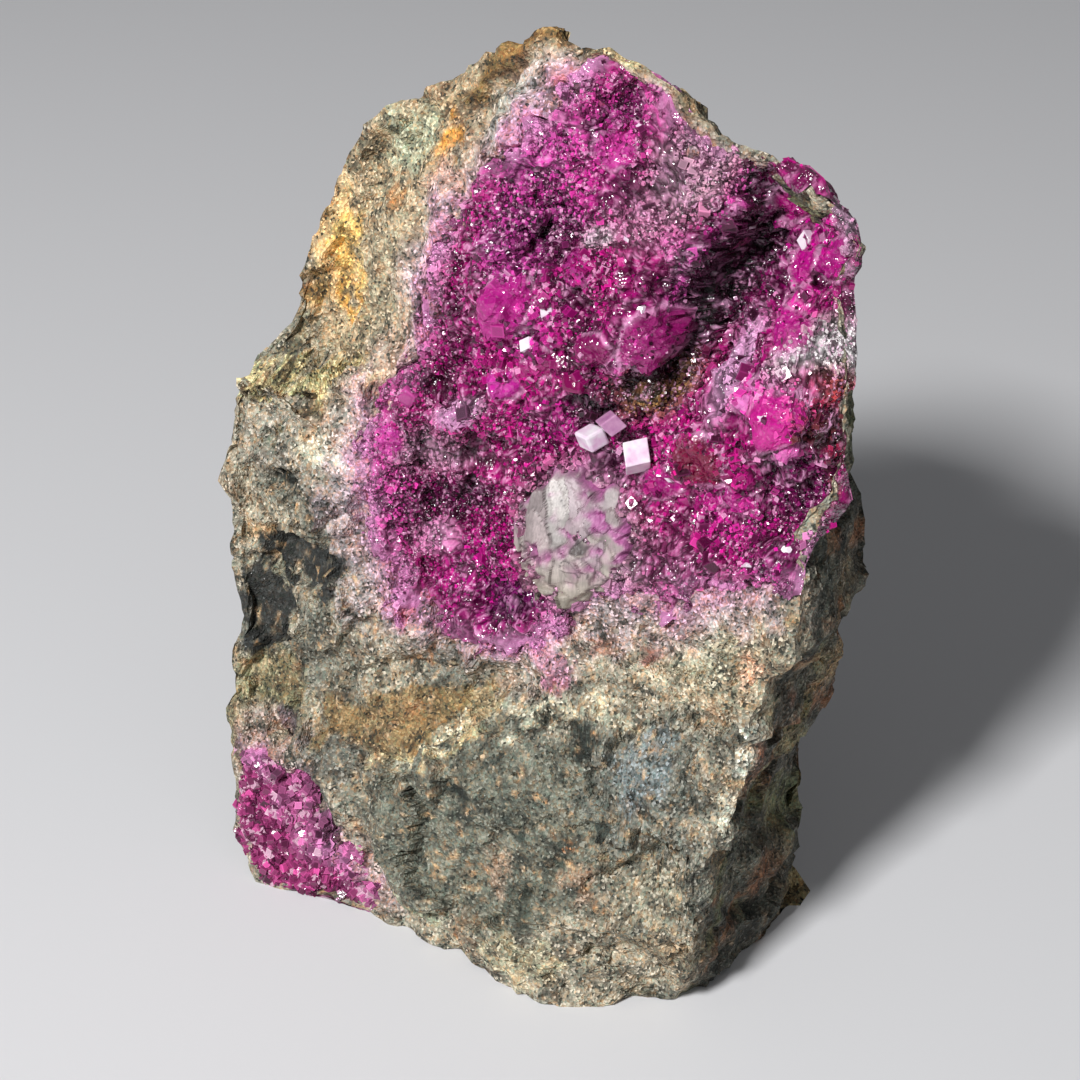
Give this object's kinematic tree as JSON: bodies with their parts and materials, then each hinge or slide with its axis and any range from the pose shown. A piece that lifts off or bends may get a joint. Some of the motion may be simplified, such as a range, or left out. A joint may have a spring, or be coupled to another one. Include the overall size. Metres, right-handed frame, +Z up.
{
  "type": "cobaltoan calcite specimen",
  "caption": "Hand-size slab of granular host rock standing on a flat base, its leaning face holding a vug crusted with magenta rhombohedral calcite crystals.",
  "frame": {"origin": "middle of the footprint of the specimen's box, on the surface that it stands on", "axes": "+X along the display face, to the right of someone who looks at it; +Y from the display face into the rock; +Z up"},
  "size_m": [0.0646, 0.0332, 0.0853],
  "materials": {
    "host_rock": "matte broken rock, granular",
    "magenta_calcite": "vitreous crystal faces",
    "colourless_calcite": "vitreous cleavage faces, cloudy",
    "pale_rhomb": "bright vitreous crystal faces"
  },
  "bodies": {
    "root": {"matrix": "host_rock", "vug_druse": "magenta_calcite", "corner_druse": "magenta_calcite", "spar": "colourless_calcite", "rhomb_left": "pale_rhomb", "rhomb_right": "pale_rhomb", "rhomb_back": "pale_rhomb"}
  },
  "joints": []
}
